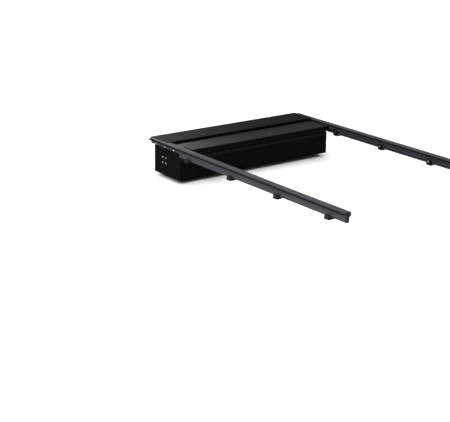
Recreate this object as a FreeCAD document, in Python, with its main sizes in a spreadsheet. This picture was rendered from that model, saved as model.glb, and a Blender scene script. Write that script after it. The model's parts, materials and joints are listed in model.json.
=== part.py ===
# Retractable slatted tonneau cover for a 6 ft pickup bed, shown rolled up in its canister.
# X runs across the bed (passenger side positive), Y along it (cab positive), Z up.
# Z = 0 is the top of the bed rails and Y = 0 the front end of the guide rails.
import FreeCAD
import Part
import Sketcher
import math
import os
import re

V = FreeCAD.Vector
LEFT, RIGHT = -1, 1

SIZES = [
    # guide rails, one along each bed side
    ("rail_length", 1866), ("lip_half", 588), ("rail_outer", 631), ("rail_top", 12),
    ("rail_wall", 3), ("web_inner", 616), ("web_outer", 620), ("web_drop", 22),
    ("ledge_inner", 587), ("ledge_top", 5.2), ("ledge_start", 213.5), ("slot_start", 325),
    ("slot_inner", 600), ("slot_top", 20), ("slot_bottom", 46), ("slot_mouth", 10), ("end_cap_thick", 4),
    # rubber strips on the rails
    ("seal_outer", 640), ("seal_height", 6), ("seal_round", 5), ("wiper_width", 6),
    ("wiper_tip", 4.8),
    # canister that holds the roll
    ("shell_half", 612), ("end_plate_thick", 4), ("sheet", 2.5), ("front_wall", 36),
    ("seat_front", 16), ("shell_bottom", 204), ("rear_wall", 320.5), ("crease_height", 63.5),
    ("crease_step", 8), ("crease_rise", 16), ("rear_wall_top", 30), ("plate_top", 9),
    ("track_thick", 13.8), ("track_reach", 32), ("track_fall", 6), ("track_rear", 285),
    ("track_bottom", 80), ("track_foot", 45), ("track_clear", 92),
    # canister lid
    ("lid_half", 606), ("lid_front", 24), ("lid_rear", 172), ("lip_drop", 3),
    ("lid_lip_half", 586), ("nose_drop", 1), ("nose_round", 10), ("lid_round", 2),
    ("flap_bottom", 4.9),
    # drum, axle and spring
    ("drum_y", 150), ("drum_z", 106), ("axle_radius", 8), ("drum_radius", 38),
    ("drum_wall", 3), ("drum_half", 596), ("hub_length", 26), ("bush_radius", 14),
    ("bracket_thick", 4.5), ("bracket_size", 50), ("bracket_round", 6), ("torsion_half", 150),
    ("torsion_radius", 14), ("torsion_wire", 1.5), ("torsion_pitch", 10),
    # slats of the rolling curtain
    ("slat_half", 596), ("slat_thick", 8), ("slat_width", 36.6), ("slat_pitch", 38),
    ("slat_skin", 1.2), ("slat_top", 3), ("slat_round", 1), ("glide_length", 10),
    ("glide_inset", 2), ("wound_count", 39), ("free_count", 4), ("roll_depth", 49.6),
    ("drum_gap", 0.3), ("layer_gap", 0.35), ("bar_gap", 0.5), ("roll_exit", 45),
    # lead bar that is pulled to the tailgate
    ("bar_front", 290), ("bar_rear", 380), ("bar_top", 6), ("bar_bottom", 23),
    ("bar_wall", 2.5), ("bar_half", 556), ("bar_cap_end", 584), ("bar_round", 2.2),
    ("gate_seal_depth", 8), ("gate_seal_inset", 2.5), ("gate_seal_round", 6),
    ("roller_radius", 6.9), ("roller_z", 1.85), ("roller_inner", 598), ("roller_outer", 606),
    ("roller_pin", 2.5), ("roller_front", 304), ("roller_rear", 352), ("pin_head", 4),
    ("pin_head_thick", 2), ("pin_gap", 0.5), ("pin_collar_start", 594.4),
    # latch inside the lead bar
    ("rod_y", 370.5), ("rod_z", 14), ("rod_radius", 3.5), ("rod_start", 18), ("rod_tip", 610),
    ("collar_x", 514), ("collar_length", 5), ("collar_radius", 6), ("cam_radius", 8),
    ("cam_z", 11), ("cam_pin", 2), ("cam_thick", 5), ("travel", 1480), ("strike_inner", 601),
    ("strike_half", 11), ("strike_bottom", 5.7), ("strike_top", 5.5), ("strike_gap", 0.7),
    ("latch_spring", 5), ("latch_wire", 0.8), ("latch_pitch", 4), ("latch_spring_gap", 1.2),
    ("strap_length", 16), ("strap_inner", 4),
    # pull handle set into the bar's underside, and the key lock in its top
    ("bezel_half", 68), ("bezel_front", 305.5), ("bezel_rear", 364.5), ("bezel_rim", 7),
    ("rim_thick", 1.5), ("cup_height", 22.5), ("cup_depth", 19), ("cup_half", 65),
    ("cup_front", 308), ("cup_rear", 362), ("handle_half", 63), ("handle_tip", 352),
    ("pivot_y", 316), ("pivot_depth", 4), ("pivot_radius", 2.5), ("paddle_round", 1.6),
    ("key_x", 95), ("key_y", 335), ("key_radius", 8), ("key_sleeve", 10), ("key_rim", 11.5),
    ("key_depth", 20), ("key_rise", 1.5), ("key_round", 0.8), ("key_slot", 9),
    ("key_slot_width", 1.6), ("key_slot_depth", 5),
    # clamps, drains and fasteners
    ("clamp_first", 430), ("clamp_pitch", 435), ("clamp_count", 4), ("clamp_width", 40),
    ("clamp_thick", 6), ("clamp_bottom", 58), ("jaw_outer", 642), ("jaw_inner", 624),
    ("jaw_top", 34), ("jaw_inset", 4), ("clamp_above", 9), ("clamp_bolt", 3),
    ("clamp_hole", 3.2), ("clamp_bolt_tip", 12), ("nut_radius", 6), ("nut_thick", 5),
    ("tee_half", 8), ("tee_thick", 4.8), ("drain_x", 560), ("drain_y", 62), ("drain_radius", 8),
    ("drain_bore", 5.5), ("drain_length", 26), ("drain_flange", 14), ("drain_flange_thick", 2.5),
    ("screw_radius", 2.4), ("screw_length", 8), ("screw_head", 5.5), ("screw_head_height", 2.4),
    ("screw_head_round", 1.4), ("screw_socket", 1.6), ("screw_socket_depth", 1.2),
    ("bolt_head", 4.5), ("bolt_head_height", 3),
    ("lid_screw_x", 597), ("lid_screw_first", 30), ("lid_screw_pitch", 58),
    ("plate_bolt_first", 60), ("plate_bolt_pitch", 100), ("bracket_bolt", 18),
    # clearances
    ("running_gap", 0.05), ("fit_gap", 0.2),
]

# where the fasteners sit, shared by the screws and the holes they pass through
LID_SCREW_ROWS = ["-lid_screw_first - %d * lid_screw_pitch" % i for i in range(3)]
PLATE_BOLTS = [("-plate_bolt_first - %d * plate_bolt_pitch" % i, "-(web_drop + plate_top) / 2")
               for i in range(3)]
BRACKET_BOLTS = [("-drum_y %s bracket_bolt" % a, "-drum_z %s bracket_bolt" % b)
                 for a in "+-" for b in "+-"]

doc = FreeCAD.newDocument("tonneau_cover")
sheet = doc.addObject("Spreadsheet::Sheet", "Sizes")
for row, (name, number) in enumerate(SIZES, start=1):
    sheet.set("A%d" % row, name)
    sheet.set("B%d" % row, str(number))
    sheet.setAlias("B%d" % row, name)
doc.recompute()

NUMBER = dict(SIZES)
NAMES = re.compile(r"\b(" + "|".join(sorted(NUMBER, key=len, reverse=True)) + r")\b")
nodes = []


def ref(expression):
    """Point every size name in an expression at the spreadsheet."""
    return NAMES.sub(r"Sizes.\1", str(expression))


def val(expression):
    """Value of an expression of size names, in mm."""
    return float(sheet.evalExpression(str(expression)))


def flip(side, expression):
    """The same distance from the middle on the chosen side of the bed."""
    return expression if side == RIGHT else "-(%s)" % expression


def keep(item, label):
    item.Label = label
    nodes.append(item)
    return item


def origin_plane(body, role):
    return next(f for f in body.Origin.OriginFeatures if f.Role == role)


def new_sketch(body, role, offset):
    sketch = body.newObject("Sketcher::SketchObject", "Profile")
    sketch.AttachmentSupport = [(origin_plane(body, role), "")]
    sketch.MapMode = "FlatFace"
    sketch.setExpression("AttachmentOffset.Base.z", ref(offset))
    return sketch


def pin_point(sketch, geo, end, x, y):
    """Tie one sketch point to the sketch origin with two bound distances."""
    for kind, expression, axis in (("DistanceX", x, -2), ("DistanceY", y, -1)):
        number = val(expression)
        if abs(number) < 1e-9:
            sketch.addConstraint(Sketcher.Constraint("PointOnObject", geo, end, axis))
            continue
        index = sketch.addConstraint(Sketcher.Constraint(kind, -1, 1, geo, end, number))
        sketch.setExpression("Constraints[%d]" % index, ref(expression))


def add_loop(sketch, points):
    corners = [V(val(x), val(y), 0) for x, y in points]
    count = len(corners)
    first = sketch.GeometryCount
    for i in range(count):
        sketch.addGeometry(Part.LineSegment(corners[i], corners[(i + 1) % count]), False)
    for i in range(count):
        following = first + (i + 1) % count
        sketch.addConstraint(Sketcher.Constraint("Coincident", first + i, 2, following, 1))
    for i, (x, y) in enumerate(points):
        pin_point(sketch, first + i, 1, x, y)


def add_circle(sketch, x, y, radius):
    circle = Part.Circle(V(val(x), val(y), 0), V(0, 0, 1), val(radius))
    geo = sketch.addGeometry(circle, False)
    index = sketch.addConstraint(Sketcher.Constraint("Radius", geo, val(radius)))
    sketch.setExpression("Constraints[%d]" % index, ref(radius))
    pin_point(sketch, geo, 3, x, y)


def pad(body, role, offset, length, loops=(), circles=(), symmetric=False):
    """Extrude closed loops and circles drawn on one origin plane of the body."""
    sketch = new_sketch(body, role, offset)
    for points in loops:
        add_loop(sketch, points)
    for x, y, radius in circles:
        add_circle(sketch, x, y, radius)
    feature = body.newObject("PartDesign::Pad", "Pad")
    feature.Profile = sketch
    feature.SideType = "Symmetric" if symmetric else "One side"
    feature.setExpression("Length", ref(length))
    doc.recompute()
    return feature


def cut(body, role, offset, depth, loops=(), circles=()):
    """Cut loops and circles out of the body, on whichever side of the plane the body lies."""
    before = body.Shape.Volume
    sketch = new_sketch(body, role, offset)
    for points in loops:
        add_loop(sketch, points)
    for x, y, radius in circles:
        add_circle(sketch, x, y, radius)
    feature = body.newObject("PartDesign::Pocket", "Pocket")
    feature.Profile = sketch
    feature.setExpression("Length", ref(depth))
    doc.recompute()
    if body.Shape.Volume > before - 0.5 or not body.Shape.isValid():
        feature.Reversed = True
        doc.recompute()
    if body.Shape.Volume > before - 0.5:
        raise RuntimeError("pocket removes nothing from " + body.Label)
    return feature


def round_edges(body, pick, radius):
    """Round every straight edge whose middle passes the pick test."""
    base = body.Tip
    chosen = ["Edge%d" % (i + 1) for i, edge in enumerate(base.Shape.Edges)
              if pick(edge.BoundBox.Center, edge.Length)]
    fillet = body.newObject("PartDesign::Fillet", "Round")
    fillet.Base = (base, chosen)
    fillet.setExpression("Radius", ref(radius))
    doc.recompute()
    if "Invalid" in fillet.State or not body.Shape.isValid():
        raise RuntimeError("rounding fails on " + body.Label)
    return fillet


def new_body(label):
    return keep(doc.addObject("PartDesign::Body", label), label)


def along_x(label, loops=(), circles=(), half=None, start=None, length=None):
    """A bar with a constant section in the YZ plane, centred or starting at a given X."""
    body = new_body(label)
    if half is not None:
        pad(body, "YZ_Plane", "0", "2 * (%s)" % half, loops, circles, symmetric=True)
    else:
        pad(body, "YZ_Plane", start, length, loops, circles)
    return body


def along_y(label, loops, start, length):
    """A bar with a constant section in the XZ plane, running toward the tailgate."""
    body = new_body(label)
    pad(body, "XZ_Plane", start, length, loops)
    return body


def rectangle(x1, y1, x2, y2):
    return [(x1, y1), (x2, y1), (x2, y2), (x1, y2)]


def near(a, b):
    return abs(a - b) < 0.01


def group(label, shapes):
    """Several identical separate solids that make one node."""
    item = doc.addObject("Part::Feature", label)
    item.Shape = Part.makeCompound(shapes) if len(shapes) > 1 else shapes[0]
    return keep(item, label)


def rod_x(x1, x2, y, z, radius):
    return Part.makeCylinder(radius, x2 - x1, V(x1, y, z), V(1, 0, 0))


def box(x1, x2, y1, y2, z1, z2):
    return Part.makeBox(x2 - x1, y2 - y1, z2 - z1, V(x1, y1, z1))


def span(side, x1, x2):
    """Two distances from the middle as an ordered X range on one side."""
    return tuple(sorted((side * x1, side * x2)))


def coil_x(x1, length, y, z, radius, wire, pitch):
    """Round-wire coil about an axis along X."""
    helix = Part.makeHelix(pitch, length, radius)
    start = Part.Wire([Part.Circle(V(radius, 0, 0), V(0, 1, 0), wire).toShape()])
    solid = Part.Wire(helix.Edges).makePipeShell([start], True, True)
    solid.rotate(V(0, 0, 0), V(0, 1, 0), 90)
    solid.translate(V(x1, y, z))
    return solid


def rail(side, name):
    def x(expression):
        return flip(side, expression)
    top, wall = "rail_top", "rail_wall"
    body = along_y(name + "_rail", [
        [(x("lip_half"), "rail_top - rail_wall"), (x("lip_half"), top), (x("rail_outer"), top),
         (x("rail_outer"), "0"), (x("web_outer"), "0"), (x("web_outer"), "-web_drop"),
         (x("web_inner"), "-web_drop"), (x("web_inner"), "rail_top - rail_wall")],
        rectangle(x("web_outer"), wall, x("rail_outer - rail_wall"), "rail_top - rail_wall"),
    ], "0", "rail_length")
    lip = "slot_inner + rail_wall"
    mouth_top = "-(slot_top + slot_bottom) / 2 + slot_mouth / 2"
    mouth_bottom = "-(slot_top + slot_bottom) / 2 - slot_mouth / 2"
    pad(body, "XZ_Plane", "ledge_start", "rail_length - ledge_start", [
        rectangle(x("web_outer"), "-ledge_top - rail_wall", x("ledge_inner"), "-ledge_top")])
    pad(body, "XZ_Plane", "slot_start", "rail_length - slot_start", [
        [(x("web_outer"), "-slot_top"), (x("slot_inner"), "-slot_top"),
         (x("slot_inner"), mouth_top), (x(lip), mouth_top),
         (x(lip), "-slot_top - rail_wall"), (x("web_inner"), "-slot_top - rail_wall"),
         (x("web_inner"), "-slot_bottom + rail_wall"), (x(lip), "-slot_bottom + rail_wall"),
         (x(lip), mouth_bottom), (x("slot_inner"), mouth_bottom),
         (x("slot_inner"), "-slot_bottom"), (x("web_outer"), "-slot_bottom")],
    ])
    cut(body, "XY_Plane", "rail_top + 1", "rail_wall + 2",
        circles=[(x("lid_screw_x"), row, "screw_radius") for row in LID_SCREW_ROWS])
    cut(body, "YZ_Plane", x("web_inner - 1"), "web_outer - web_inner + 2",
        circles=[(y, z, "screw_radius") for y, z in PLATE_BOLTS])


def rail_trim(side, name):
    def x(expression):
        return flip(side, expression)
    seal = along_y(name + "_rail_seal",
                   [rectangle(x("rail_outer"), "0", x("seal_outer"), "seal_height")],
                   "0", "rail_length")
    round_edges(seal, lambda c, n: near(abs(c.x), val("seal_outer")) and near(c.z, val("seal_height")),
                "seal_round")
    under = "rail_top - rail_wall"
    along_y(name + "_wiper_seal", [
        [(x("lip_half"), under), (x("lip_half + wiper_width"), under),
         (x("lip_half + 3"), "wiper_tip + 2.4"), (x("lip_half + 2.2"), "wiper_tip"),
         (x("lip_half + 0.8"), "wiper_tip"), (x("lip_half"), "wiper_tip + 2.4")],
    ], "bar_front", "rail_length - bar_front")
    along_y(name + "_rail_end_cap", [
        [(x("ledge_inner"), "rail_top"), (x("rail_outer"), "rail_top"), (x("rail_outer"), "0"),
         (x("web_outer"), "0"), (x("web_outer"), "-slot_bottom"), (x("slot_inner"), "-slot_bottom"),
         (x("slot_inner"), "-slot_top"), (x("ledge_inner"), "-ledge_top - rail_wall")],
    ], "rail_length", "end_cap_thick")


def canister():
    t = "sheet"
    shell = along_x("canister_shell", [[
        ("seat_front", "0"), ("seat_front", t), ("-front_wall - sheet", t),
        ("-front_wall - sheet", "-shell_bottom + sheet"), ("-rear_wall + sheet", "-shell_bottom + sheet"),
        ("-rear_wall + sheet", "-crease_height + 1"),
        ("-rear_wall + sheet + crease_step", "-crease_height + crease_rise + 1"),
        ("-rear_wall + sheet + crease_step", "-rear_wall_top"),
        ("-rear_wall + crease_step", "-rear_wall_top"),
        ("-rear_wall + crease_step", "-crease_height + crease_rise"),
        ("-rear_wall", "-crease_height"), ("-rear_wall", "-shell_bottom"),
        ("-front_wall", "-shell_bottom"), ("-front_wall", "0"),
    ]], half="shell_half")
    cut(shell, "XY_Plane", "-shell_bottom - 1", "sheet + 2",
        circles=[(flip(side, "drain_x"), "-drain_y", "drain_radius") for side in (LEFT, RIGHT)])
    for side, name in ((LEFT, "left"), (RIGHT, "right")):
        start = "shell_half" if side == RIGHT else "-shell_half - end_plate_thick"
        plate = along_x(name + "_end_plate", [[
            ("-front_wall", "-shell_bottom"), ("-front_wall", "-plate_top"),
            ("-rear_wall + 22", "-plate_top"), ("-rear_wall + crease_step", "-rear_wall_top"),
            ("-rear_wall + crease_step", "-crease_height + crease_rise"),
            ("-rear_wall", "-crease_height"), ("-rear_wall", "-shell_bottom"),
        ]], start=start, length="end_plate_thick")
        cut(plate, "YZ_Plane", flip(side, "shell_half - 1"), "end_plate_thick + 2",
            circles=[(y, z, "screw_radius") for y, z in PLATE_BOLTS + BRACKET_BOLTS])
        track_start = "shell_half - track_thick" if side == RIGHT else "-shell_half"
        under_ledge = "-ledge_top - rail_wall - fit_gap"
        # the inner edge of the track keeps outside the circle that the full roll sweeps
        along_x(name + "_guide_track", [[
            ("-ledge_start", "-ledge_top - fit_gap"),
            ("-ledge_start + track_reach", "-ledge_top - track_fall"),
            ("-ledge_start + track_reach", "-ledge_top - track_fall - 5"),
            ("-drum_y - track_clear * sqrt(0.5)", "-drum_z + track_clear * sqrt(0.5)"),
            ("-track_rear + track_foot", "-track_bottom"), ("-track_rear", "-track_bottom"),
            ("-track_rear", under_ledge), ("-ledge_start", under_ledge),
        ]], start=track_start, length="track_thick")
        bracket_start = "shell_half - bracket_thick" if side == RIGHT else "-shell_half"
        bracket = along_x(name + "_axle_bracket",
                          [rectangle("-drum_y - bracket_size / 2", "-drum_z - bracket_size / 2",
                                     "-drum_y + bracket_size / 2", "-drum_z + bracket_size / 2")],
                          [("-drum_y", "-drum_z", "axle_radius")]
                          + [(y, z, "screw_radius") for y, z in BRACKET_BOLTS],
                          start=bracket_start, length="bracket_thick")
        round_edges(bracket, lambda c, n: near(n, val("bracket_thick"))
                    and near(abs(c.y + val("drum_y")), val("bracket_size / 2"))
                    and near(abs(c.z + val("drum_z")), val("bracket_size / 2")), "bracket_round")


def lid():
    under, over = "rail_top", "rail_top + sheet"
    body = along_x("canister_lid", [[
        ("lid_front", "nose_drop"), ("lid_front", over), ("-lid_rear", over), ("-lid_rear", under),
        ("lid_front - sheet", under), ("lid_front - sheet", "nose_drop"),
    ]], half="lid_half")
    for front, height, radius in (("lid_front - sheet", under, "nose_round - sheet"),
                                  ("lid_front", over, "nose_round")):
        round_edges(body, lambda c, n: near(c.y, val(front)) and near(c.z, val(height)) and n > 500,
                    radius)
    pad(body, "YZ_Plane", "0", "2 * lid_lip_half",
        [rectangle("-lid_rear", "lip_drop", "-lid_rear + sheet", under)], symmetric=True)
    round_edges(body, lambda c, n: near(c.y, -val("lid_rear")) and near(c.z, val(over)) and n > 500,
                "lid_round")
    holes = [(flip(side, "lid_screw_x"), row, "screw_radius")
             for side in (LEFT, RIGHT) for row in LID_SCREW_ROWS]
    cut(body, "XY_Plane", "rail_top - 1", "sheet + 3", circles=holes)
    seal = along_x("bulkhead_seal", [rectangle("seat_front", "0", "seat_front + 5", "seal_height")],
                   half="lid_lip_half")
    round_edges(seal, lambda c, n: near(c.z, val("seal_height")) and n > 500, "2")
    along_x("lid_wiper_seal", [[
        ("-lid_rear + sheet", "rail_top - 1"), ("-lid_rear + sheet + 3", "rail_top - 1"),
        ("-lid_rear + sheet + 3", "2"), ("-lid_rear + sheet + 4.5", "-flap_bottom + 0.5"),
        ("-lid_rear + sheet + 3", "-flap_bottom"), ("-lid_rear + sheet", "2"),
    ]], half="lid_lip_half - 2")


def lid_screws():
    shapes = []
    height, length, deep = (val("screw_" + n) for n in ("head_height", "length", "socket_depth"))
    for side in (LEFT, RIGHT):
        for row in LID_SCREW_ROWS:
            x, y, top = side * val("lid_screw_x"), val(row), val("rail_top + sheet")
            head = Part.makeCylinder(val("screw_head"), height, V(x, y, top))
            rim = [e for e in head.Edges if near(e.BoundBox.ZMin, top + height)]
            head = head.makeFillet(val("screw_head_round"), rim)
            shank = Part.makeCylinder(val("screw_radius"), length, V(x, y, top - length))
            socket = Part.makeCylinder(val("screw_socket"), deep + 1, V(x, y, top + height - deep))
            shapes.append(head.fuse(shank).cut(socket))
    group("lid_screws", shapes)


def plate_bolts():
    shapes = []
    head = val("bolt_head_height")
    for places, inside, outside in (
            (PLATE_BOLTS, val("shell_half"), val("web_outer")),
            (BRACKET_BOLTS, val("shell_half - bracket_thick"), val("shell_half + end_plate_thick"))):
        for side in (LEFT, RIGHT):
            for y, z in places:
                x1, x2 = span(side, inside, outside + head)
                h1, h2 = span(side, outside, outside + head)
                shank = rod_x(x1, x2, val(y), val(z), val("screw_radius"))
                shapes.append(shank.fuse(rod_x(h1, h2, val(y), val(z), val("bolt_head"))))
    group("end_plate_bolts", shapes)


def drum():
    y, z = "-drum_y", "-drum_z"
    along_x("drum_axle", circles=[(y, z, "axle_radius")], half="shell_half")
    along_x("drum_tube", circles=[(y, z, "drum_radius"), (y, z, "drum_radius - drum_wall")],
            half="drum_half")
    for side, name in ((LEFT, "left"), (RIGHT, "right")):
        start = "drum_half - hub_length" if side == RIGHT else "-drum_half"
        along_x(name + "_drum_hub",
                circles=[(y, z, "drum_radius - drum_wall"), (y, z, "bush_radius")],
                start=start, length="hub_length")
        along_x(name + "_drum_bush",
                circles=[(y, z, "bush_radius"), (y, z, "axle_radius + running_gap")],
                start=start, length="hub_length")
    half, radius, wire, pitch = (val("torsion_" + n) for n in ("half", "radius", "wire", "pitch"))
    group("torsion_spring", [coil_x(-half, 2 * half, val(y), val(z), radius, wire, pitch)])


def hollow_slat():
    """One slat lying flat: its inner face on Z = 0 and its width centred on Y = 0."""
    half, wide, thick, skin = (val(n) for n in ("slat_half", "slat_width", "slat_thick", "slat_skin"))
    outer = box(-half, half, -wide / 2, wide / 2, 0, thick)
    long_edges = [e for e in outer.Edges if near(e.BoundBox.XLength, 2 * half)]
    outer = outer.makeFillet(val("slat_round"), long_edges)
    return outer.cut(box(-half, half, -wide / 2 + skin, wide / 2 - skin, skin, thick - skin))


def slat_glide(side):
    """The plastic slider that closes one end of a slat."""
    half, thick = val("slat_width / 2 - glide_inset"), val("slat_thick")
    x1, x2 = span(side, val("slat_half"), val("slat_half + glide_length"))
    return box(x1, x2, -half, half, 0, thick)


def spiral_places():
    """Angle and radius of every wound slat, from the drum outward to where the curtain leaves."""
    radius = val("drum_radius + drum_gap")
    angle = 0
    places = []
    thick, half = val("slat_thick"), val("slat_pitch") / 2
    for _ in range(int(val("wound_count"))):
        places.append((angle, radius))
        step = 2 * math.atan(half / (radius + thick / 2))
        layer = math.hypot(radius + thick, val("slat_width") / 2) + val("layer_gap") - radius
        angle += step
        radius += layer * step / (2 * math.pi)
    shift = math.radians(val("roll_exit")) - places[-1][0]
    return [(a + shift, r) for a, r in places]


def turned(shape, angle, radius):
    """Copy of a flat slat shape put on the roll, its outer face away from the axle."""
    copy = shape.copy()
    copy.translate(V(0, 0, radius))
    copy.rotate(V(0, 0, 0), V(1, 0, 0), math.degrees(angle) - 90)
    copy.translate(V(0, -val("drum_y"), -val("drum_z")))
    return copy


def free_path(distance):
    """Point on the free curtain's middle line, measured from the lead bar toward the roll.

    It lies flat on the rail ledges, then drops in a straight line that clears the roll."""
    middle = val("slat_top - slat_thick / 2")
    flat = val("bar_front - ledge_start")
    if distance <= flat:
        return -val("bar_front") + distance, middle
    across, down = val("ledge_start - drum_y"), val("-drum_z") - middle
    clear = val("drum_radius + drum_gap + roll_depth + slat_thick / 2")
    drop = math.atan2(down, across) + math.asin(clear / math.hypot(across, down))
    past = distance - flat
    return -val("ledge_start") + past * math.cos(drop), middle + past * math.sin(drop)


def laid(shape, start):
    """Copy of a flat slat shape with its two long edges on the free curtain's line."""
    y1, z1 = free_path(start)
    y2, z2 = free_path(start + val("slat_pitch"))
    copy = shape.copy()
    copy.translate(V(0, 0, -val("slat_thick") / 2))
    copy.rotate(V(0, 0, 0), V(1, 0, 0), math.degrees(math.atan2(z2 - z1, y2 - y1)))
    copy.translate(V(0, (y1 + y2) / 2, (z1 + z2) / 2))
    return copy


def curtain():
    slat = hollow_slat()
    glides = [slat_glide(LEFT), slat_glide(RIGHT)]
    places = spiral_places()
    group("wound_slats", [turned(slat, a, r) for a, r in places])
    group("wound_slat_glides", [turned(g, a, r) for a, r in places for g in glides])
    starts = [val("slat_pitch") * i + val("bar_gap") for i in range(int(val("free_count")))]
    group("curtain_run", [laid(slat, d) for d in starts])
    group("curtain_run_glides", [laid(g, d) for d in starts for g in glides])


def lead_bar():
    body = along_x("lead_bar", [
        rectangle("-bar_rear", "-bar_bottom", "-bar_front", "bar_top"),
        rectangle("-bar_rear + bar_wall", "-bar_bottom + bar_wall",
                  "-bar_front - bar_wall", "bar_top - bar_wall"),
    ], half="bar_half")
    corners = [(-val("bar_rear"), -val("bar_bottom")), (-val("bar_rear"), val("bar_top")),
               (-val("bar_front"), -val("bar_bottom")), (-val("bar_front"), val("bar_top"))]
    round_edges(body, lambda c, n: n > 500 and any(near(c.y, y) and near(c.z, z) for y, z in corners),
                "bar_round")
    cut(body, "XY_Plane", "-bar_bottom - 1", "bar_wall + 2",
        [rectangle("-bezel_half - fit_gap", "-bezel_rear - fit_gap",
                   "bezel_half + fit_gap", "-bezel_front + fit_gap")])
    cut(body, "XY_Plane", "bar_top + 1", "bar_wall + 2",
        circles=[("key_x", "-key_y", "key_sleeve + fit_gap")])
    for side, name in ((LEFT, "left"), (RIGHT, "right")):
        start = "bar_half" if side == RIGHT else "-bar_cap_end"
        cap = along_x(name + "_bar_end_cap",
                      [rectangle("-bar_rear", "-bar_bottom", "-bar_front", "bar_top")],
                      [("-rod_y", "-rod_z", "rod_radius + 0.08"),
                       ("-roller_front", "roller_z", "roller_pin"),
                       ("-roller_rear", "roller_z", "roller_pin")],
                      start=start, length="bar_cap_end - bar_half")
        round_edges(cap, lambda c, n: near(n, val("bar_cap_end - bar_half"))
                    and any(near(c.y, y) and near(c.z, z) for y, z in corners), "bar_round")
    seal = along_x("tailgate_seal",
                   [rectangle("-bar_rear - gate_seal_depth", "-bar_bottom + gate_seal_inset",
                              "-bar_rear", "bar_top - gate_seal_inset")],
                   half="bar_cap_end - 6")
    round_edges(seal, lambda c, n: near(c.y, -val("bar_rear + gate_seal_depth")) and n > 500,
                "gate_seal_round")


def lead_rollers():
    pins = []
    for side, name in ((LEFT, "left"), (RIGHT, "right")):
        start = "roller_inner" if side == RIGHT else "-roller_outer"
        for place in ("front", "rear"):
            centre = "-roller_" + place
            along_x("%s_%s_roller" % (name, place),
                    circles=[(centre, "roller_z", "roller_radius"),
                             (centre, "roller_z", "roller_pin + running_gap")],
                    start=start, length="roller_outer - roller_inner")
            y, z = val(centre), val("roller_z")
            tip = val("roller_outer + pin_gap + pin_head_thick")
            x1, x2 = span(side, val("bar_half"), tip)
            c1, c2 = span(side, val("roller_outer + pin_gap"), tip)
            s1, s2 = span(side, val("pin_collar_start"), val("roller_inner - pin_gap"))
            pin = rod_x(x1, x2, y, z, val("roller_pin"))
            collars = [rod_x(a, b, y, z, val("pin_head")) for a, b in ((c1, c2), (s1, s2))]
            pins.append(pin.fuse(collars).removeSplitter())
    group("roller_pins", pins)


def latch():
    y, z = "-rod_y", "-rod_z"
    springs, strikes = [], []
    for side, name in ((LEFT, "left"), (RIGHT, "right")):
        body = new_body(name + "_latch_rod")
        begin = "rod_start" if side == RIGHT else "-rod_tip"
        pad(body, "YZ_Plane", begin, "rod_tip - rod_start", circles=[(y, z, "rod_radius")])
        collar = "collar_x" if side == RIGHT else "-collar_x - collar_length"
        pad(body, "YZ_Plane", collar, "collar_length", circles=[(y, z, "collar_radius")])
        strap = "rod_start - strap_inner"
        if side == LEFT:
            strap = "-rod_start - strap_length + strap_inner"
        pad(body, "YZ_Plane", strap, "strap_length",
            [rectangle("-rod_y + 0.8", "-rod_z - 3", "-rod_y + 3", "-rod_z + 5")])
        s1, s2 = span(side, val("collar_x + collar_length + latch_spring_gap"),
                      val("bar_half - latch_spring_gap"))
        springs.append(coil_x(s1, s2 - s1, val(y), val(z),
                              val("latch_spring"), val("latch_wire"), val("latch_pitch")))
        x1, x2 = span(side, val("strike_inner"), val("web_inner"))
        for shift in (0, val("travel")):
            centre, half = val(y) - shift, val("strike_half")
            block = box(x1, x2, centre - half, centre + half,
                        val("-rod_z - strike_bottom"), val("-rod_z + strike_top"))
            strikes.append(block.cut(rod_x(x1, x2, centre, val(z), val("rod_radius + strike_gap"))))
    group("latch_springs", springs)
    group("strike_plates", strikes)
    cam = new_body("latch_cam")
    cam_front = "rod_y - 0.3"
    pad(cam, "XZ_Plane", cam_front, "cam_thick",
        circles=[("0", "-cam_z", "cam_radius"), ("0", "-cam_z", "cam_pin + running_gap")])
    pin = new_body("cam_pin")
    pad(pin, "XZ_Plane", cam_front, "bar_rear - bar_wall - (%s)" % cam_front,
        circles=[("0", "-cam_z", "cam_pin")])


def handle():
    under = "-bar_bottom"
    rim = "-bar_bottom - rim_thick"
    pivot = "-bar_bottom + pivot_depth"
    bezel = new_body("handle_bezel")
    pad(bezel, "XY_Plane", under, "cup_height",
        [rectangle("-bezel_half", "-bezel_rear", "bezel_half", "-bezel_front")])
    pad(bezel, "XY_Plane", rim, "rim_thick",
        [rectangle("-bezel_half - bezel_rim", "-bezel_rear - 3.5", "bezel_half + bezel_rim",
                   "-bezel_front + 3.5")])
    round_edges(bezel, lambda c, n: near(n, val("rim_thick")) and c.z < val(under), "3")
    cut(bezel, "XY_Plane", rim, "rim_thick + cup_depth",
        [rectangle("-cup_half", "-cup_rear", "cup_half", "-cup_front")])
    cut(bezel, "YZ_Plane", "-bezel_half - 1", "2 * bezel_half + 2",
        circles=[("-pivot_y", pivot, "pivot_radius")])
    paddle = along_x("pull_handle", [[
        ("-handle_tip", pivot + " - 5.2"), ("-pivot_y + 4", pivot + " - 5.2"),
        ("-pivot_y + 5.5", pivot + " - 4"), ("-pivot_y + 5", pivot + " + 4.5"),
        ("-pivot_y - 6", pivot + " + 4.5"), ("-pivot_y - 14", pivot + " + 0.5"),
        ("-handle_tip", pivot + " - 1")]],
        [("-pivot_y", pivot, "pivot_radius + running_gap")], half="handle_half")
    round_edges(paddle, lambda c, n: n > 100 and near(c.y, -val("handle_tip")), "paddle_round")
    along_x("handle_pin", circles=[("-pivot_y", pivot, "pivot_radius")], half="bezel_half")


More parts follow.
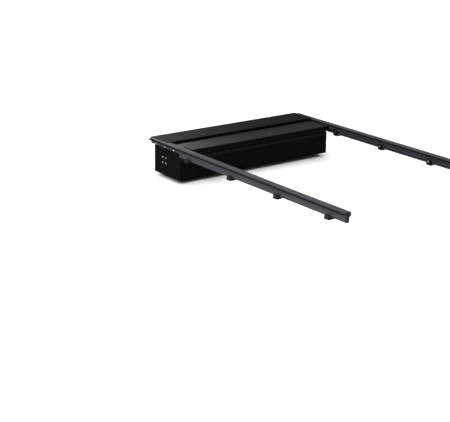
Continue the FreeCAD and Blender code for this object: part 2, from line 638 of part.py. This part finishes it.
def key_lock():
    x, y = "key_x", "-key_y"
    sleeve = new_body("key_sleeve")
    pad(sleeve, "XY_Plane", "bar_top - key_depth", "key_depth", circles=[(x, y, "key_sleeve")])
    pad(sleeve, "XY_Plane", "bar_top", "1", circles=[(x, y, "key_rim")])
    cut(sleeve, "XY_Plane", "bar_top + 1", "key_depth - 1", circles=[(x, y, "key_radius + running_gap")])
    key = new_body("key_cylinder")
    pad(key, "XY_Plane", "bar_top + key_rise - key_depth + 1", "key_depth - 1",
        circles=[(x, y, "key_radius")])
    face = val("bar_top + key_rise")
    round_edges(key, lambda c, n: near(c.z, face) and n > 20, "key_round")
    cut(key, "XY_Plane", "bar_top + key_rise", "key_slot_depth",
        [rectangle("key_x - key_slot / 2", "-key_y - key_slot_width / 2",
                   "key_x + key_slot / 2", "-key_y + key_slot_width / 2")])


def clamps():
    brackets, jaws, bolts = [], [], []
    mouth = -val("(slot_top + slot_bottom) / 2")
    thick, bottom, wide = val("clamp_thick"), -val("clamp_bottom"), val("clamp_width")
    lip, radius, nut_thick, tee = val("slot_inner"), val("nut_radius"), val("nut_thick"), val("tee_half")
    tee_start = lip + val("rail_wall + fit_gap")
    for side in (LEFT, RIGHT):
        for i in range(int(val("clamp_count"))):
            y1 = -val("clamp_first") - i * val("clamp_pitch") - wide / 2
            y2, yc = y1 + wide, y1 + wide / 2
            a1, a2 = span(side, lip - thick, lip)
            b1, b2 = span(side, lip - thick, val("jaw_outer"))
            upright = box(a1, a2, y1, y2, bottom, mouth + val("clamp_above"))
            foot = box(b1, b2, y1, y2, bottom, bottom + thick)
            plate = upright.fuse(foot).removeSplitter()
            brackets.append(plate.cut(rod_x(a1 - 1, a2 + 1, yc, mouth, val("clamp_hole"))))
            j1, j2 = span(side, val("jaw_inner"), val("jaw_outer"))
            inset = val("jaw_inset")
            jaws.append(box(j1, j2, y1 + inset, y2 - inset, bottom + thick, -val("jaw_top")))
            s1, s2 = span(side, lip - val("clamp_bolt_tip"), tee_start + val("tee_thick"))
            h1, h2 = span(side, tee_start, tee_start + val("tee_thick"))
            n1, n2 = span(side, lip - thick - nut_thick, lip - thick)
            corners = [math.radians(k * 60) for k in range(7)]
            nut = Part.Face(Part.makePolygon([
                V(n1, yc + radius * math.cos(a), mouth + radius * math.sin(a)) for a in corners
            ])).extrude(V(n2 - n1, 0, 0))
            head = box(h1, h2, yc - tee, yc + tee, mouth - tee, mouth + tee)
            bolts.append(rod_x(s1, s2, yc, mouth, val("clamp_bolt")).fuse([head, nut]).removeSplitter())
    group("clamp_brackets", brackets)
    group("clamp_jaws", jaws)
    group("clamp_bolts", bolts)


def drains():
    for side, name in ((LEFT, "left"), (RIGHT, "right")):
        x, y = flip(side, "drain_x"), "-drain_y"
        body = new_body(name + "_drain_fitting")
        pad(body, "XY_Plane", "-shell_bottom - drain_length", "drain_length + sheet",
            circles=[(x, y, "drain_radius"), (x, y, "drain_bore")])
        pad(body, "XY_Plane", "-shell_bottom - drain_flange_thick", "drain_flange_thick",
            circles=[(x, y, "drain_flange"), (x, y, "drain_bore")])


for bed_side, bed_name in ((LEFT, "left"), (RIGHT, "right")):
    rail(bed_side, bed_name)
    rail_trim(bed_side, bed_name)
canister()
lid()
lid_screws()
plate_bolts()
drum()
curtain()
lead_bar()
lead_rollers()
latch()
handle()
key_lock()
clamps()
drains()

doc.recompute()
for item in doc.Objects:
    if any(word in item.State for word in ("Invalid", "Error")):
        raise RuntimeError("%s is %s" % (item.Label, item.State))
os.makedirs("parts", exist_ok=True)
for item in nodes:
    if item.Shape.isNull() or not item.Shape.isValid():
        raise RuntimeError("bad shape: " + item.Label)
    item.Shape.exportStep("parts/%s.step" % item.Label)
    box_of = item.Shape.BoundBox
    print("%-22s solids %3d  X %8.1f %8.1f  Y %8.1f %8.1f  Z %7.1f %7.1f  V %.0f" % (
        item.Label, len(item.Shape.Solids), box_of.XMin, box_of.XMax, box_of.YMin, box_of.YMax,
        box_of.ZMin, box_of.ZMax, item.Shape.Volume))
print(len(nodes), "nodes")
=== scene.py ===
import json
import math

import bpy
import numpy as np
from mathutils import Matrix, Vector


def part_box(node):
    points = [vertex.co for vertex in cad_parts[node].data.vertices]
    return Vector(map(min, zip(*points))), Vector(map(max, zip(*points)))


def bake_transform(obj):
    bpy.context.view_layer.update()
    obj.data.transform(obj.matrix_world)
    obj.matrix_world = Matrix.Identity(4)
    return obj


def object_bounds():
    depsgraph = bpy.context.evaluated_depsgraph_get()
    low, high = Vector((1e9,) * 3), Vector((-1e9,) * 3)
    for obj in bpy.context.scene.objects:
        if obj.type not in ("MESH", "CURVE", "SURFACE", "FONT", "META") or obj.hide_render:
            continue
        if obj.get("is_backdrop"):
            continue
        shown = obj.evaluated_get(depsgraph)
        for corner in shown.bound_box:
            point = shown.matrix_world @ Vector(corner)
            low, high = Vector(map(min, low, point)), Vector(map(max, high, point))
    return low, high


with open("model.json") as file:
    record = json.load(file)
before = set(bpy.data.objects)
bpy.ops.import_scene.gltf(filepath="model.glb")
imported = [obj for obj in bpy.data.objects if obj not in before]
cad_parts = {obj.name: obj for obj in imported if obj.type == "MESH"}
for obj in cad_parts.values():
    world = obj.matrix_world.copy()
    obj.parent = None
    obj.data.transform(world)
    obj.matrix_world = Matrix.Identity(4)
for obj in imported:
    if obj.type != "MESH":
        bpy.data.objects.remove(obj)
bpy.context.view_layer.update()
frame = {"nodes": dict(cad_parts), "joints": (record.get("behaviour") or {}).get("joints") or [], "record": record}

nodes = frame["nodes"]


def set_range(node, low, high, out_low, out_high):
    """Fills in a Map Range node."""
    for key, value in (("From Min", low), ("From Max", high),
                       ("To Min", out_low), ("To Max", out_high)):
        node.inputs[key].default_value = value


# ---------------------------------------------------------------- materials

BENT, FLAT = 0.88, 0.995          # cosines between the eased normal and the face, at an edge and off it
COATING_TINT = (0.92, 0.76, 1.0, 1.0)
EDGE_EASE = 0.0007                # radius that the eye gives the edges of coated sheet and extrusion
FOLD_HIGHLIGHT_WIDTH = 0.016                # how far the painted highlight along the canister's fold reaches up and down


def scaled(colour, factor, plus=0.0):
    return tuple(channel * factor + plus for channel in colour)


class Nodes:
    """A material's node tree, with short calls for the nodes used here.

    Coordinates are metres, so a texture's scale is how many cells it has in a metre."""

    def __init__(self, name):
        self.material = bpy.data.materials.new(name)
        self.material.use_nodes = True
        self.tree = self.material.node_tree
        self.shader = self.tree.nodes["Principled BSDF"]
        self.place = self.tree.nodes.new("ShaderNodeTexCoord").outputs["Object"]

    def new(self, kind, **values):
        node = self.tree.nodes.new(kind)
        for key, value in values.items():
            setattr(node, key, value)
        return node

    def link(self, source, socket):
        self.tree.links.new(source, socket)

    def set(self, **values):
        """Sets the shader's own sockets."""
        for key, value in values.items():
            self.shader.inputs[key.replace("_", " ")].default_value = value

    def stretched(self, scale):
        """The object coordinates multiplied along each axis."""
        node = self.new("ShaderNodeMapping")
        node.inputs["Scale"].default_value = scale
        self.link(self.place, node.inputs["Vector"])
        return node.outputs["Vector"]

    def noise(self, scale, detail=2.0, rough=0.5, vector=None):
        node = self.new("ShaderNodeTexNoise")
        node.inputs["Scale"].default_value = scale
        node.inputs["Detail"].default_value = detail
        node.inputs["Roughness"].default_value = rough
        self.link(vector or self.place, node.inputs["Vector"])
        return node.outputs["Fac"]

    def cells(self, scale, vector=None):
        node = self.new("ShaderNodeTexVoronoi")
        node.inputs["Scale"].default_value = scale
        self.link(vector or self.place, node.inputs["Vector"])
        return node.outputs["Distance"]

    def span(self, source, low, high, out_low, out_high):
        """The value from low to high, carried over to out_low to out_high."""
        node = self.new("ShaderNodeMapRange")
        self.link(source, node.inputs["Value"])
        set_range(node, low, high, out_low, out_high)
        return node.outputs["Result"]

    def maths(self, operation, a, b):
        node = self.new("ShaderNodeMath", operation=operation)
        for socket, value in zip(node.inputs, (a, b)):
            if isinstance(value, (int, float)):
                socket.default_value = value
            else:
                self.link(value, socket)
        return node.outputs["Value"]

    def mix(self, factor, a, b):
        node = self.new("ShaderNodeMix", data_type="RGBA")
        self.link(factor, node.inputs["Factor"])
        for socket, value in ((node.inputs["A"], a), (node.inputs["B"], b)):
            if isinstance(value, tuple):
                socket.default_value = (*value, 1.0)
            else:
                self.link(value, socket)
        return node.outputs["Result"]

    def rounded(self, radius):
        """Shading normal of the surface with its sharp edges eased."""
        node = self.new("ShaderNodeBevel", samples=4)
        node.inputs["Radius"].default_value = radius
        return node.outputs["Normal"]

    def rear_line(self, height, width):
        """1 at the height, falling to 0 a width above and below, on faces that look to the tailgate."""
        split = self.new("ShaderNodeSeparateXYZ")
        self.link(self.place, split.inputs["Vector"])
        line = self.maths("MINIMUM", self.span(split.outputs["Z"], height - width, height, 0, 1),
                          self.span(split.outputs["Z"], height, height + width, 1, 0))
        face = self.new("ShaderNodeSeparateXYZ")
        self.link(self.new("ShaderNodeNewGeometry").outputs["Normal"], face.inputs["Vector"])
        return self.maths("MULTIPLY", line, self.span(face.outputs["Y"], -0.8, -0.5, 1, 0))

    def edges(self, rounded):
        """1 along the sharp edges that the eased normal bends round, 0 on the flats."""
        flat = self.new("ShaderNodeNewGeometry").outputs["Normal"]
        node = self.new("ShaderNodeVectorMath", operation="DOT_PRODUCT")
        self.link(flat, node.inputs[0])
        self.link(rounded, node.inputs[1])
        return self.span(node.outputs["Value"], BENT, FLAT, 1, 0)

    def bump(self, height, strength, distance, under=None):
        node = self.new("ShaderNodeBump")
        node.inputs["Strength"].default_value = strength
        node.inputs["Distance"].default_value = distance
        self.link(height, node.inputs["Height"])
        if under is not None:
            self.link(under, node.inputs["Normal"])
        return node.outputs["Normal"]


def coated(name, dark, light, rough, grain, sheen, lines=None, highlight_height=None):
    """Powder coat: fine grain, an uneven sheen, settled dust, and edges painted paler, partly as wear and partly
    as a painted highlight.

    With lines, which stretch a texture, an extrusion's die lines show through along one axis.
    Given the height of a fold, the faces that look to the tailgate get a painted highlight along that height, a
    paler line that stands in for light caught on the fold."""
    n = Nodes(name)
    n.set(Specular_IOR_Level=sheen, Specular_Tint=COATING_TINT)
    fine = n.noise(1400, 3, 0.6)
    peel = n.cells(430)
    drawn = n.noise(1.0, 4, 0.6, n.stretched(lines)) if lines else fine
    cloud = n.noise(5.5, 4, 0.55)
    dust = n.span(n.noise(150, 3, 0.6), 0.56, 0.74, 0, 0.22)
    scuffs = n.span(n.noise(34, 6, 0.7), 0.60, 0.72, 0, 0.3)
    # edges made paler: partly wear, partly a painted highlight along every sharp edge
    edge_wear_and_highlight = n.span(n.noise(60, 3), 0.35, 0.65, 0.2, 0.5)
    worn_and_highlit_edges = n.maths("MULTIPLY", n.edges(n.rounded(EDGE_EASE)), edge_wear_and_highlight)
    base = n.mix(n.span(cloud, 0.3, 0.7, 0, 1), dark, light)
    base = n.mix(n.span(drawn, 0.35, 0.65, 0, 0.5), base, scaled(dark, 0.8))
    base = n.mix(n.maths("MAXIMUM", dust, scuffs), base, scaled(light, 1.35, 0.004))
    if highlight_height:
        # painted highlight: the faces that look to the tailgate are made paler along the fold, standing in for
        # light caught there
        fold = n.maths("MULTIPLY", n.rear_line(highlight_height, FOLD_HIGHLIGHT_WIDTH), n.span(cloud, 0.3, 0.7, 0.75, 1))
        base = n.mix(fold, base, scaled(light, 2.1, 0.006))
    n.link(n.mix(worn_and_highlit_edges, base, scaled(light, 2.1, 0.012)), n.shader.inputs["Base Color"])
    n.link(n.span(n.maths("ADD", cloud, drawn), 0.6, 1.4, *rough), n.shader.inputs["Roughness"])
    first = n.bump(drawn, 0.3, 0.00006, n.rounded(EDGE_EASE))
    second = n.bump(fine, 0.5, grain, first)
    n.link(n.bump(peel, 0.35, grain * 1.5, second), n.shader.inputs["Normal"])
    return n.material


def rubber(name, colour, bloom_rise=0.003, sheen=0.06):
    """Extruded rubber: fine pores, a grey bloom and a faint line along its length."""
    n = Nodes(name)
    n.set(Specular_IOR_Level=sheen)
    pores = n.cells(900)
    bloom = n.noise(22, 5, 0.6)
    drawn = n.noise(1.0, 3, 0.6, n.stretched((500, 3, 500)))
    grey = scaled(colour, 1.8, bloom_rise)
    n.link(n.mix(n.span(bloom, 0.45, 0.75, 0, 0.6), colour, grey), n.shader.inputs["Base Color"])
    n.link(n.span(bloom, 0.3, 0.7, 0.62, 0.82), n.shader.inputs["Roughness"])
    first = n.bump(drawn, 0.3, 0.0001)
    n.link(n.bump(pores, 0.4, 0.00015, first), n.shader.inputs["Normal"])
    return n.material


def moulded(name, colour, rough=(0.48, 0.62), grain=520, sheen=0.3):
    """Moulded plastic or phosphated steel: leather grain, cloudy sheen, edges a little paler."""
    n = Nodes(name)
    n.set(Specular_IOR_Level=sheen)
    leather = n.cells(grain)
    cloud = n.noise(14, 4, 0.6)
    eased = n.rounded(0.0006)
    base = n.mix(n.span(cloud, 0.35, 0.7, 0, 1), colour, scaled(colour, 1.5, 0.006))
    # edges made paler: partly wear, partly a painted highlight along every sharp edge
    worn_and_highlit_edges = n.maths("MULTIPLY", n.edges(eased), 0.4)
    n.link(n.mix(worn_and_highlit_edges, base, scaled(colour, 2.4, 0.02)), n.shader.inputs["Base Color"])
    n.link(n.span(cloud, 0.3, 0.7, *rough), n.shader.inputs["Roughness"])
    n.link(n.bump(leather, 0.45, 0.00012, eased), n.shader.inputs["Normal"])
    return n.material


def metal(name, colour, rough=(0.28, 0.42), brushed=(1, 1, 1), tint=None):
    """Bare or plated metal: brushing, a cloudy tint and dull spots."""
    n = Nodes(name)
    n.set(Metallic=1.0)
    streak = n.noise(1.0, 4, 0.6, n.stretched(scaled(brushed, 300)))
    cloud = n.noise(18, 4, 0.6)
    spots = n.span(n.noise(240, 3, 0.6), 0.62, 0.74, 0, 0.6)
    base = n.mix(n.span(cloud, 0.35, 0.7, 0, 1), colour, tint or scaled(colour, 0.72))
    n.link(n.mix(spots, base, scaled(colour, 0.5)), n.shader.inputs["Base Color"])
    n.link(n.span(n.maths("ADD", streak, cloud), 0.6, 1.4, *rough), n.shader.inputs["Roughness"])
    n.link(n.bump(streak, 0.25, 0.00005, n.rounded(0.0005)), n.shader.inputs["Normal"])
    return n.material


def fold_height():
    """The canister wall's fold, which is the top of the shell's rearmost face in the CAD mesh."""
    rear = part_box("canister_shell")[0].y
    return max(v.co.z for v in nodes["canister_shell"].data.vertices if v.co.y < rear + 0.0001)


ALONG_RAIL, ALONG_BAR = (900, 2.5, 900), (2.5, 800, 800)
SLAT_DARK, SLAT_LIGHT = (0.0034, 0.0028, 0.0040), (0.0060, 0.0050, 0.0069)
SHEET_DARK, SHEET_LIGHT = (0.0020, 0.0016, 0.0024), (0.0036, 0.0030, 0.0042)

rail_coat = coated("rail_coat", (0.040, 0.034, 0.043), (0.056, 0.049, 0.060), (0.36, 0.52),
                   grain=0.0001, sheen=0.04, lines=ALONG_RAIL)
bar_coat = coated("bar_coat", SLAT_DARK, SLAT_LIGHT, (0.40, 0.54),
                  grain=0.0001, sheen=0.105, lines=ALONG_BAR)
slat_coat = coated("slat_coat", SLAT_DARK, SLAT_LIGHT, (0.34, 0.48),
                   grain=0.0001, sheen=0.09, lines=ALONG_BAR)
lid_coat = coated("lid_coat", (0.0020, 0.0016, 0.0024), (0.0038, 0.0031, 0.0045), (0.48, 0.62),
                  grain=0.00014, sheen=0.035)
canister_coat = coated("canister_coat", SHEET_DARK, SHEET_LIGHT, (0.6, 0.74), grain=0.00014, sheen=0.02)
# the canister shell's coat, with a painted highlight along the wall's fold
shell_coat = coated("shell_coat", SHEET_DARK, SHEET_LIGHT, (0.6, 0.74), grain=0.00014, sheen=0.02,
                    highlight_height=fold_height())
black_rubber = rubber("black_rubber", (0.0050, 0.0045, 0.0054))
soft_foam = rubber("soft_foam", (0.0012, 0.0011, 0.0014), bloom_rise=0.0006, sheen=0.02)
black_plastic = moulded("black_plastic", (0.0075, 0.0068, 0.0082), sheen=0.08)
cap_plastic = moulded("cap_plastic", (0.0030, 0.0027, 0.0034), (0.5, 0.64), sheen=0.03)
nylon = moulded("nylon", (0.020, 0.020, 0.021), (0.38, 0.5), 800)
zinc = metal("zinc_plate", (0.50, 0.50, 0.52), tint=(0.42, 0.42, 0.38))
black_steel = moulded("black_steel", (0.017, 0.017, 0.018), (0.34, 0.48), 1100)
bronze = metal("bronze", (0.52, 0.36, 0.18), (0.36, 0.5))
spring_steel = metal("spring_steel", (0.26, 0.26, 0.28), (0.3, 0.42))
raw_aluminium = metal("raw_aluminium", (0.56, 0.56, 0.58), (0.34, 0.5), (1, 6, 1))
key_metal = metal("key_metal", (0.16, 0.16, 0.17), (0.25, 0.4))

FINISH = {
    "black_rail": rail_coat, "black_lid": lid_coat, "black_slat": slat_coat,
    "canister_sheet": canister_coat, "black_rubber": black_rubber, "black_plastic": black_plastic,
    "nylon": nylon, "steel_zinc": zinc, "black_steel": black_steel, "bronze": bronze,
    "spring_steel": spring_steel, "raw_aluminium": raw_aluminium, "chrome_key": key_metal,
}


def dress(obj, material):
    obj.data.materials.clear()
    obj.data.materials.append(material)


def dress_frame():
    """Every CAD node by its slot in the record, then those whose finish differs from the rest of it."""
    for part in frame["record"]["subparts"]:
        dress(nodes[part["node"]], FINISH[part["material_slot"]])
    dress(nodes["lead_bar"], bar_coat)
    dress(nodes["canister_shell"], shell_coat)
    dress(nodes["tailgate_seal"], soft_foam)
    for side in ("left", "right"):
        dress(nodes[side + "_bar_end_cap"], cap_plastic)


dress_frame()


# ---------------------------------------------------------------- pulled-out curtain

def curtain_travel():
    joint = next(j for j in frame["joints"] if j["name"] == "curtain_slide")
    return max(joint["range_m"])


TRAVEL = curtain_travel()
HALF_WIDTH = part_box("curtain_run")[1].x
BAR_WALL = 0.0028                           # the lead bar's front wall, with a small gap
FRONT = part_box("lead_bar")[1].y - BAR_WALL  # where the first slat starts, just inside the bar
FOLD = 0.0118                               # depth inside the bar that the slats fold up into at rest
PITCH, SEAM = 0.038, 0.0016                 # from slat to slat, and the groove between two of them
SLAT_TOP, SLAT_THICK = 0.003, 0.008
CROWN, SHOULDER, CHAMFER = 0.0003, 0.003, 0.001
LIP, LIP_DROP, EDGE_DROP = 0.0008, 0.0002, 0.0012
HINGE_TOP, HINGE_BOTTOM = 0.0022, 0.0062    # the hook under the groove, below the slats' top
BLEND_STEPS = 4001


def rest_place(pulled):
    """Where a point lies at rest so that the blend carries it to its place with the bar pulled out."""
    at = np.linspace(0, FOLD, BLEND_STEPS)
    t = at / FOLD
    carried = at + TRAVEL * t * t * (3 - 2 * t)
    return float(np.interp(pulled, carried, at))


def slat_section():
    """A slat's outline as (distance, height) from the middle of its top: a crown with eased edges."""
    half = (PITCH - SEAM) / 2
    return [(-half, -EDGE_DROP), (-half + LIP, -LIP_DROP), (-half + SHOULDER, 0.0), (0, CROWN),
            (half - SHOULDER, 0.0), (half - LIP, -LIP_DROP), (half, -EDGE_DROP),
            (half, -SLAT_THICK + CHAMFER), (half - CHAMFER, -SLAT_THICK),
            (-half + CHAMFER, -SLAT_THICK), (-half, -SLAT_THICK + CHAMFER)]


def hinge_section():
    """The hook that joins two slats, from the middle of the groove between them."""
    return [(-SEAM, -HINGE_TOP), (SEAM, -HINGE_TOP), (SEAM, -HINGE_BOTTOM), (-SEAM, -HINGE_BOTTOM)]


def add_strip(verts, faces, section, centre, ends):
    """A strip across the bed, closed at both sides when ends is true."""
    first, n = len(verts), len(section)
    for x in (-HALF_WIDTH, HALF_WIDTH):
        for along, height in section:
            verts.append((x, FRONT - rest_place(centre + along), SLAT_TOP + height))
    for k in range(n):
        after = (k + 1) % n
        faces.append((first + k, first + after, first + n + after, first + n + k))
    if ends:
        faces.append(tuple(first + k for k in reversed(range(n))))
        faces.append(tuple(first + n + k for k in range(n)))


def pulled_out_curtain():
    """The slats, built where they lie at rest, folded up inside the bar, each point set back by rest_place so that
    the blend would lay it out along the rails with the bar pulled.
    """
    length = TRAVEL + FOLD
    count = int(length / PITCH)
    step = length / count
    verts, faces = [], []
    for i in range(count):
        add_strip(verts, faces, slat_section(), (i + 0.5) * step, ends=True)
        if i:
            add_strip(verts, faces, hinge_section(), i * step, ends=False)
    mesh = bpy.data.meshes.new("curtain_slats")
    mesh.from_pydata(verts, [], faces)
    mesh.materials.append(slat_coat)
    curtain = bpy.data.objects.new("curtain_slats", mesh)
    bpy.context.scene.collection.objects.link(curtain)
    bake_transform(curtain)


pulled_out_curtain()


# ---------------------------------------------------------------- stage, lights, camera

# What the photograph was taken with, in degrees, millimetres of lens and metres
CAMERA_AZIMUTH, CAMERA_DOWN, CAMERA_ROLL = 37.0, 18.3, 0.91
CAMERA_LENS = 91.8
CAMERA_PLACE = (-4.57, -6.05, 1.902)

# Each soft light's name, place, aim, width and height, and watts
SOFT_LIGHTS = [
    ("overhead", (-1.0, -1.4, 4.6), (0, -0.9, 0), (4.0, 4.0), 70),
    ("driver_side", (-3.0, -1.7, 1.7), (-0.5, -1.0, 0), (2.2, 1.4), 90),
    ("cab_side", (1.0, 3.0, 1.4), (-0.5, -0.2, 0), (1.2, 0.8), 20),
]

# How bright the dome is between two heights, as low, high, brightness at low, brightness at high
SKY_OVERHEAD = (0.35, 0.9, 0.1, 2.1)
SKY_HORIZON = (0.0, 0.12, 1.0, 0.1)
SKY_COLOUR = (0.97, 0.98, 1.0, 1)

FLOOR_SIZE, FLOOR_GAP = 60, 0.0005


def floor():
    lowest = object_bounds()[0].z
    bpy.ops.mesh.primitive_plane_add(size=FLOOR_SIZE, location=(0, 0, lowest - FLOOR_GAP))
    plane = bpy.context.object
    plane.name = "floor"
    n = Nodes("floor_paint")
    cloud = n.noise(1.2, 3, 0.5)
    n.link(n.mix(cloud, (0.87, 0.87, 0.87), (0.90, 0.90, 0.90)), n.shader.inputs["Base Color"])
    n.set(Roughness=0.75)
    plane.data.materials.append(n.material)
    plane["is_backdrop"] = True


def soft_light(name, at, aim, size, power):
    data = bpy.data.lights.new(name, "AREA")
    data.shape = "RECTANGLE"
    data.size, data.size_y = size
    data.energy = power
    light = bpy.data.objects.new(name, data)
    light.location = at
    light.rotation_euler = (Vector(aim) - Vector(at)).to_track_quat("-Z", "Y").to_euler()
    bpy.context.scene.collection.objects.link(light)


def studio_sky():
    """A pale dome: bright overhead, dim lower down, and white again along the horizon."""
    world = bpy.data.worlds.new("studio")
    world.use_nodes = True
    tree = world.node_tree
    way = tree.nodes.new("ShaderNodeTexCoord").outputs["Generated"]
    split = tree.nodes.new("ShaderNodeSeparateXYZ")
    tree.links.new(way, split.inputs["Vector"])
    both = tree.nodes.new("ShaderNodeMath")
    both.operation = "MAXIMUM"
    for socket, band in zip(both.inputs, (SKY_OVERHEAD, SKY_HORIZON)):
        span = tree.nodes.new("ShaderNodeMapRange")
        set_range(span, *band)
        tree.links.new(split.outputs["Z"], span.inputs["Value"])
        tree.links.new(span.outputs["Result"], socket)
    background = tree.nodes["Background"]
    background.inputs["Color"].default_value = SKY_COLOUR
    tree.links.new(both.outputs["Value"], background.inputs["Strength"])
    bpy.context.scene.world = world


def photo_camera():
    """Three-quarter view over the tailgate from the driver's side."""
    azimuth, down, roll = (math.radians(angle) for angle in (CAMERA_AZIMUTH, CAMERA_DOWN, CAMERA_ROLL))
    ahead = Vector((math.sin(azimuth) * math.cos(down),
                    math.cos(azimuth) * math.cos(down),
                    -math.sin(down)))
    level = Vector((math.cos(azimuth), -math.sin(azimuth), 0))
    over = level.cross(ahead)
    right = math.cos(roll) * level + math.sin(roll) * over
    top = -math.sin(roll) * level + math.cos(roll) * over
    data = bpy.data.cameras.new("photo_camera")
    data.lens = CAMERA_LENS
    data.clip_end = 100
    camera = bpy.data.objects.new("photo_camera", data)
    turn = Matrix((right, top, -ahead)).transposed()
    camera.matrix_world = Matrix.Translation(CAMERA_PLACE) @ turn.to_4x4()
    bpy.context.scene.collection.objects.link(camera)
    bpy.context.scene.camera = camera


floor()
for soft in SOFT_LIGHTS:
    soft_light(*soft)
studio_sky()
bpy.context.scene.view_settings.view_transform = "Standard"
photo_camera()
